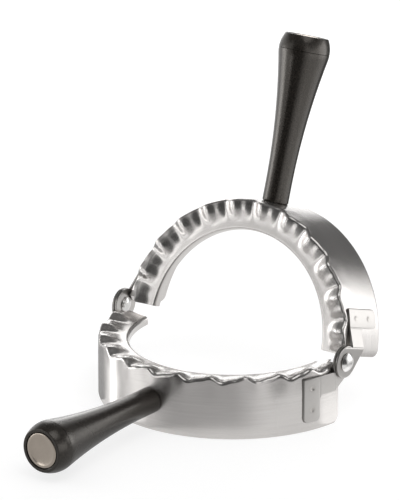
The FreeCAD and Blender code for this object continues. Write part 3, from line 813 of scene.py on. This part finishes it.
def edge_band(loop, half, side):
    """The sheared edge: rows round a quarter, down and round a quarter, along every point of the line."""
    quarter = np.linspace(0, np.pi / 2, 4)
    inset = PLATE_EDGE * (1 - np.sin(quarter))
    depth = PLATE_EDGE / PLATE * (1 - np.cos(quarter))
    rows = list(zip(np.concatenate([inset, inset[::-1]]), np.concatenate([depth, 1 - depth[::-1]])))
    points = np.concatenate([laid(moved_in(loop, step), share, half, side) for step, share in rows])
    flat = np.concatenate([moved_in(loop, step) + [0, share * PLATE] for step, share in rows])
    faces = grid(len(rows), len(loop), wrap_columns=True)[0]
    # The sheared mark, which the finish turns into duller metal and painted shade.
    sheared = np.repeat(np.concatenate([np.sin(quarter), np.sin(quarter)[::-1]]), len(loop))
    return points, flat, faces, sheared


def hinge_plate(name, half, side, material):
    """Both skins and the edge bands, joined where their points meet."""
    count = len(pattern_points)
    points = [laid(pattern_points, depth, half, side) for depth in (0, 1)]
    flats = [pattern_points, pattern_points]
    triangles = np.concatenate([pattern_faces, pattern_faces[:, ::-1] + count])
    faces = [np.concatenate([triangles, triangles[:, -1:]], axis=1)]
    sheared = [np.zeros(2 * count)]
    start = 2 * count
    for loop in (outline, hole):
        band, flat, quads, rough = edge_band(loop, half, side)
        points.append(band)
        flats.append(flat)
        sheared.append(rough)
        faces.append(quads[:, ::-1] + start)
        start += len(band)
    points = np.concatenate(points)
    flats = np.concatenate(flats)
    faces = np.concatenate(faces)
    weld = np.exp(-(to_weld(flats[:, 0], flats[:, 1]) / WELD_HALO) ** 2)
    marks = {"weld": weld, "sheared": np.concatenate(sheared)}
    return make_piece(name, in_place(points, half), faces, flats[faces], material, marks=marks)


for half, plus_side in (("front", "right"), ("rear", "left")):
    other = {"right": "left", "left": "right"}[plus_side]
    for side, word in ((1, plus_side), (-1, other)):
        plate = hinge_plate(f"{half}_bent_plate_{word}", half, side, plate_finish)
        stand_for(plate, f"{half}_hinge_{word}", f"{half}_half")

# %% [markdown]
# Each hinge turns on a polished rivet. Its dome is part of a ball, and its radius follows from the height
# of the dome and the radius of the head. The head is drawn in a little at its seat, so a dark line shows
# round it on the ear. The profile is spun as the grips are, but about the hinge axis.

# %% The two rivets
RIVET_SHANK = RIVET_HOLE
RIVET_SEAT = 2.7 * MM
RIVET_HEAD = 4.45 * MM
RIVET_DOME = 2.4 * MM
RIVET_EDGE = 0.5 * MM
RIVET_UNDERCUT = 0.35 * MM
RIVET_TAIL = 3.6 * MM
TAIL_HEIGHT = 1.6 * MM
DOME_STEPS = 28


def dome(radius, rise):
    """Rim to top of a dome, part of a ball whose radius is (radius squared + rise squared) / (2 rise)."""
    ball = (radius ** 2 + rise ** 2) / (2 * rise)
    reach = radius * np.sin(np.linspace(np.pi / 2, 0, DOME_STEPS))
    return np.stack([reach, rise - ball + np.sqrt(ball ** 2 - reach ** 2)], -1)


def rivet_profile():
    """The tail's dome, the shank, the undercut seat and the head's dome."""
    tail = dome(RIVET_TAIL, TAIL_HEIGHT - RIVET_EDGE) * [1, -1] - [0, RIVET_EDGE]
    head = dome(RIVET_HEAD, RIVET_DOME - RIVET_EDGE) + [0, RIVET_SEAT + RIVET_EDGE]
    seat = [
        (RIVET_TAIL, 0),
        (RIVET_SHANK, 0),
        (RIVET_SHANK, RIVET_SEAT),
        (RIVET_HEAD - RIVET_UNDERCUT, RIVET_SEAT),
        (RIVET_HEAD, RIVET_SEAT + RIVET_UNDERCUT),
    ]
    return np.concatenate([tail[::-1], seat, head])


for word, side in (("right", 1), ("left", -1)):
    points, faces, maps = spin(rivet_profile())
    points = points[:, [1, 0, 2]]
    points = (points + [EAR_STAND["front"], 0, 0]) * [side, 1, 1] + AXIS
    rivet = make_piece(f"{word}_domed_rivet", points, faces, maps, rivet_finish)
    stand_for(rivet, f"{word}_rivet", "front_half")

# %% [markdown]
# Washers, screws and inserts are plain turned parts, so their shapes are carried over from the construction
# as they are. Each takes the finish that belongs to the words in its name.

# %% Finishes of the carried-over pieces
carried = {
    "friction_washer": nylon_finish,
    "grip_screw": screw_finish,
    "saddle_washer": screw_finish,
    "grip_insert": brass_finish,
}
for word, finish in carried.items():
    for name, node in frame["nodes"].items():
        if word in name:
            node.data.materials.clear()
            node.data.materials.append(finish)
            print(name, "takes", finish.name)

# %% [markdown]
# The camera stands where the photograph was taken from, a long way off behind a long lens, so the lines of
# the press hardly converge. Its place is given by two angles and a distance, and its aim by two small
# shifts.

# %% The camera
AZIMUTH = math.radians(37.23)
ELEVATION = math.radians(19.38)
DISTANCE = 2.25
AIM_RIGHT = -0.01503
AIM_UP = 0.06554
LENS = 346.7
SENSOR = 36

back = Vector((
    math.sin(AZIMUTH) * math.cos(ELEVATION),
    -math.cos(AZIMUTH) * math.cos(ELEVATION),
    math.sin(ELEVATION),
))
right = Vector((math.cos(AZIMUTH), math.sin(AZIMUTH), 0))
up = back.cross(right)
camera = bpy.data.objects.new("camera", bpy.data.cameras.new("camera"))
bpy.context.scene.collection.objects.link(camera)
camera.data.lens = LENS
camera.data.sensor_width = SENSOR
camera.data.clip_start = 0.1
camera.data.clip_end = 50
turn = Matrix((right, up, back)).transposed().to_4x4()
aim = Vector((0, AXIS[1], 0)) + AIM_RIGHT * right + AIM_UP * up
camera.matrix_world = Matrix.Translation(aim + DISTANCE * back) @ turn
bpy.context.scene.camera = camera
print("camera at", tuple(round(x, 3) for x in camera.location))

# %% [markdown]
# The studio starts with a pale floor that runs into a white surround. Both are white where a camera ray, a
# mirrored ray or a ray through something clear meets them, and the floor keeps its shadow. Other rays meet
# a dimmer surround, so the white adds no light to the press. Overhead it is darker, as a studio's ceiling
# is, which gives the waved rims their contrast.

# %% Floor and surround
FLOOR_TONE = (0.4, 0.4, 0.4, 1)
FLOOR_GLOW = 0.74
FLOOR_REACH = 3.0
WHITE = (1, 1, 1, 1)
AMBIENT = 0.45
CEILING = 0.15
CEILING_START = 0.25
CEILING_END = 0.55


def seen_rays(tree):
    """One for a ray from the camera, a mirrored ray or a ray that passed through, else nought."""
    path = tree.nodes.new("ShaderNodeLightPath")
    value = path.outputs["Is Camera Ray"]
    for kind in ("Is Glossy Ray", "Is Transmission Ray"):
        larger = tree.nodes.new("ShaderNodeMath")
        larger.operation = "MAXIMUM"
        link(tree, value, larger.inputs[0])
        link(tree, path.outputs[kind], larger.inputs[1])
        value = larger.outputs[0]
    return value


def floor_finish():
    """A matt grey that is lifted to white by its own glow, so only the shadow shows."""
    material, tree, shader = new_finish("pale_floor")
    shader.inputs["Base Color"].default_value = FLOOR_TONE
    shader.inputs["Roughness"].default_value = 0.9
    shader.inputs["Specular IOR Level"].default_value = 0.0
    shader.inputs["Emission Color"].default_value = WHITE
    link(tree, spread(tree, seen_rays(tree), 0, FLOOR_GLOW, 0, 1), shader.inputs["Emission Strength"])
    return material


mesh = bpy.data.meshes.new("floor")
corners = np.array([(-1, -1, 0), (1, -1, 0), (1, 1, 0), (-1, 1, 0)]) * FLOOR_REACH
mesh.from_pydata(corners.tolist(), [], [(0, 1, 2, 3)])
mesh.materials.append(floor_finish())
floor = bpy.data.objects.new("floor", mesh)
bpy.context.scene.collection.objects.link(floor)

world = bpy.data.worlds.new("surround")
bpy.context.scene.world = world
world.use_nodes = True
tree = world.node_tree
ambient = tree.nodes["Background"]
ambient.inputs["Color"].default_value = WHITE
ambient.inputs["Strength"].default_value = AMBIENT
white = tree.nodes.new("ShaderNodeBackground")
white.inputs["Color"].default_value = WHITE
direction = tree.nodes.new("ShaderNodeSeparateXYZ")
link(tree, tree.nodes.new("ShaderNodeTexCoord").outputs["Generated"], direction.inputs[0])
ceiling = spread(tree, direction.outputs["Z"], 1.0, CEILING, CEILING_START, CEILING_END)
link(tree, ceiling, white.inputs["Strength"])
mix = tree.nodes.new("ShaderNodeMixShader")
link(tree, seen_rays(tree), mix.inputs["Fac"])
link(tree, ambient.outputs[0], mix.inputs[1])
link(tree, white.outputs[0], mix.inputs[2])
link(tree, mix.outputs[0], tree.nodes["World Output"].inputs["Surface"])
print("floor", 2 * FLOOR_REACH, "m across, surround", AMBIENT)

# %% [markdown]
# Soft boxes light the press. One overhead lights it all round, and three low ones draw the long highlights
# on the grips, the walls and the rivet. A soft box is given by the radiance of its face, so that its size
# can change without changing how bright it looks in the steel.

# %% Soft boxes
MIDDLE = (0, AXIS[1])
LAMP_AIM = Vector((*MIDDLE, 0.06))


def compass(azimuth, distance, height, centre=MIDDLE):
    """Degrees from the front grip's direction towards the right, metres out from the centre, metres up."""
    turn = np.radians(azimuth)
    across = centre[0] + distance * np.sin(turn)
    back = centre[1] - distance * np.cos(turn)
    return np.stack(np.broadcast_arrays(across, back, height), -1)


def soft_box(name, place, width, height, radiance):
    """A rectangle of even light that faces the press; its power is radiance times pi times its area."""
    data = bpy.data.lights.new(name, "AREA")
    data.shape = "RECTANGLE"
    data.size = width
    data.size_y = height
    data.energy = radiance * math.pi * width * height
    lamp = bpy.data.objects.new(name, data)
    bpy.context.scene.collection.objects.link(lamp)
    lamp.location = place
    lamp.rotation_euler = (LAMP_AIM - lamp.location).to_track_quat("-Z", "Y").to_euler()
    lamp.visible_camera = False
    return lamp


soft_box("top_box", compass(70, 0.45, 1.15), 0.7, 0.7, 1.6)
soft_box("back_box", compass(216, 0.70, 0.27), 0.46, 0.54, 1.9)
soft_box("left_box", compass(-68, 0.60, 0.11), 0.32, 0.20, 3.2)
soft_box("right_box", compass(132, 0.40, 0.13), 0.30, 0.24, 1.75)
print("soft boxes", len(bpy.data.lights))

# %% [markdown]
# Polished metal looks like what it mirrors. Round it, out of the picture, stand cards that glow at a set
# tone and are seen only by mirrored rays: they light nothing and cast no shadow, so the grey and bright
# bands they leave in the steel are painted reflections. Some lie on the floor and some stand; a dim
# reflection glows below the white of the surround, and a bright reflection or a glint above it. Each is
# placed by the direction in which its piece mirrors it. The round wall mirrors a small image that seems to
# lie behind its skin, and a card that belongs to the wall is turned about that point.

# %% Cards
CARD_COLUMNS = 41


def mirror_point(facing):
    """Where the round wall at a facing seems to mirror its surroundings from: behind its skin, against the
    mirrored ray, by half the radius times the cosine of the angle between the wall and the camera."""
    turn = math.radians(facing)
    ray = 2 * turn - AZIMUTH
    depth = OUTER / 2 * math.cos(turn - AZIMUTH)
    across = OUTER * math.sin(turn) - depth * math.sin(ray)
    back = AXIS[1] - OUTER * math.cos(turn) + depth * math.cos(ray)
    return across, back


def card(name, azimuths, edge, rows, tone, centre):
    """A curved card of a tone that fades to white over its two edges; rows give radius and height. It glows
    and is seen only by mirrored rays: a painted reflection in the steel, which lights nothing.
    """
    azimuth = np.linspace(*azimuths, CARD_COLUMNS)[None, :]
    radius, height = (np.array(item)[:, None] for item in zip(*rows))
    points = compass(azimuth, radius, height, centre)
    inward = np.minimum(azimuth - azimuths[0], azimuths[1] - azimuth)
    share = np.clip(inward / edge, 0, 1)
    share = share * share * (3 - 2 * share)
    strength = 1 + (tone - 1) * share + 0 * radius
    mesh = bpy.data.meshes.new(name)
    mesh.from_pydata(points.reshape(-1, 3).tolist(), [], grid(*strength.shape)[0].tolist())
    tones = mesh.attributes.new("tone", "FLOAT", "POINT")
    tones.data.foreach_set("value", strength.ravel().astype(np.float32))
    material, tree, shader = new_finish(f"{name}_finish")
    shader.inputs["Base Color"].default_value = (0, 0, 0, 1)
    shader.inputs["Specular IOR Level"].default_value = 0
    shader.inputs["Emission Color"].default_value = WHITE
    read = tree.nodes.new("ShaderNodeAttribute")
    read.attribute_name = "tone"
    link(tree, read.outputs["Fac"], shader.inputs["Emission Strength"])
    mesh.materials.append(material)
    sheet = bpy.data.objects.new(name, mesh)
    bpy.context.scene.collection.objects.link(sheet)
    sheet.visible_camera = False
    sheet.visible_diffuse = False
    sheet.visible_transmission = False
    sheet.visible_shadow = False
    return sheet


RIVET_SPOT = (OUTER, AXIS[1])
GRIP_END = (0, AXIS[1] - OUTER - GRIP_LENGTH)
REAR_GRIP_END = (0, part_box("rear_end_disc")[1].y)
# Each card is a painted reflection: it glows, is seen only in mirrors, and is dim below tone 1, bright above.
# Name, first and last azimuth, width of the fading edge, rows, tone, centre.
CARDS = (
    # The rear wall.
    ("back_dim_reflection", (157, 203), 6, [(0.20, 0.0008), (0.50, 0.001), (0.50, 0.34)], 0.17, MIDDLE),
    ("high_dim_reflection", (140, 192), 10, [(0.52, 0.30), (0.52, 0.62)], 0.10, MIDDLE),
    ("end_mat", (130, 162), 6, [(0.118, 0.0009), (0.50, 0.0009)], 1.35, RIVET_SPOT),
    # The front wall, its middle first, then its left and its right end.
    ("front_dim_reflection", (-45, 60), 30, [(0.45, 0.001), (0.45, 0.5)], 0.06, MIDDLE),
    ("front_low_dim_reflection", (-52, 76), 40, [(0.041, 0.0008), (0.45, 0.0008)], 0.54, mirror_point(25)),
    ("left_glint", (-93, -78), 3, [(0.016, 0.0009), (0.45, 0.0009), (0.45, 0.12)], 2.8, mirror_point(-24)),
    ("dip_dim_reflection", (-81, -65), 5, [(0.017, 0.0010), (0.45, 0.0010)], 0.66, mirror_point(-20)),
    ("root_mat", (-65, -38), 10, [(0.021, 0.0010), (0.45, 0.0010)], 1.4, mirror_point(-10)),
    ("left_dim_reflection", (-150, -95), 12, [(0.010, 0.0008), (0.45, 0.0008)], 0.40, mirror_point(-38)),
    ("right_bright_reflection", (112, 152), 10, [(0.024, 0.0008), (0.066, 0.0008)], 1.5, mirror_point(80)),
    ("right_glint", (62, 112), 8, [(0.50, 0.02), (0.50, 0.24)], 1.6, MIDDLE),
    ("arm_dim_reflection", (104, 126), 5, [(0.070, 0.0009), (0.13, 0.0009)], 0.75, mirror_point(77)),
    # The right hinge.
    ("ear_dim_reflection", (118, 168), 8, [(0.055, 0.0010), (0.108, 0.0010)], 0.55, RIVET_SPOT),
    ("rivet_dim_reflection", (40, 99), 8, [(0.082, 0.0009), (0.10, 0.0009), (0.10, 0.085)], 0.05, RIVET_SPOT),
    # The discs in the ends of the grips.
    ("end_glint", (-46, -24), 4, [(0.30, 0.015), (0.30, 0.13)], 2.5, GRIP_END),
    ("disc_dim_reflection", (200, 232), 6, [(0.26, 0.10), (0.26, 0.20)], 0.30, REAR_GRIP_END),
)
for name, azimuths, edge, rows, tone, centre in CARDS:
    card(name, azimuths, edge, rows, tone, centre)
print("cards", len(CARDS))

# %% [markdown]
# Last, the Standard view shows a colour as it is written.

# %% Finish
bpy.context.scene.view_settings.view_transform = "Standard"
